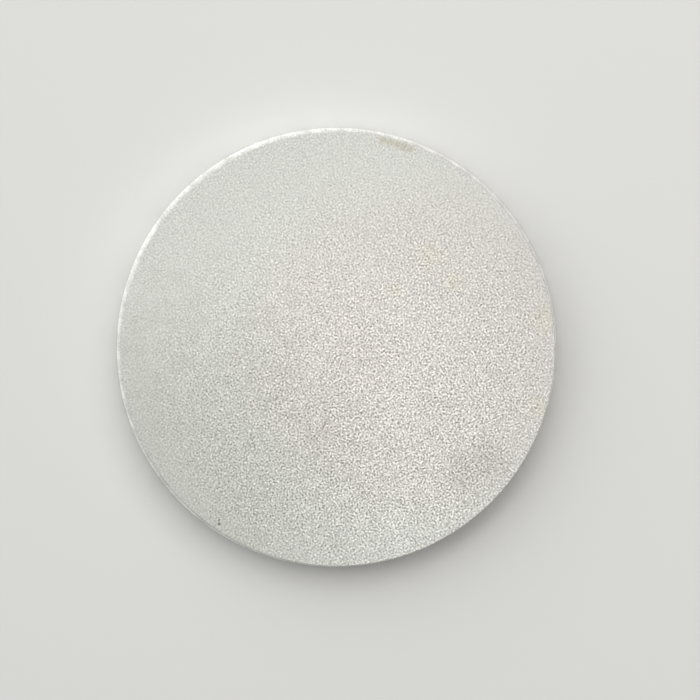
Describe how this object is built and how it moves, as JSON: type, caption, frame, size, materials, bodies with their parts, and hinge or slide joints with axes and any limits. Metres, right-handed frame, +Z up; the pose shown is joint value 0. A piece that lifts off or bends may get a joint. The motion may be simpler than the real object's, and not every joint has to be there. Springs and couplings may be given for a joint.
{
  "type": "golf ball marker",
  "caption": "Plain coin-style ball marker: a thin solid metal disc with flat blasted faces and a plain rim, laid on a putting green to mark a ball's place.",
  "frame": {"origin": "centre of the underside, on the surface that the marker lies on", "axes": "+Z up, along the disc's axis, out of the upper face; the disc is round, so X and Y are free"},
  "size_m": [0.0254, 0.0254, 0.002],
  "materials": {
    "blasted_steel": "bead-blasted matt faces with a fine grain, stronger towards one side; no grain on the rim wall"
  },
  "bodies": {
    "root": {"marker_disc": "blasted_steel"}
  },
  "joints": []
}
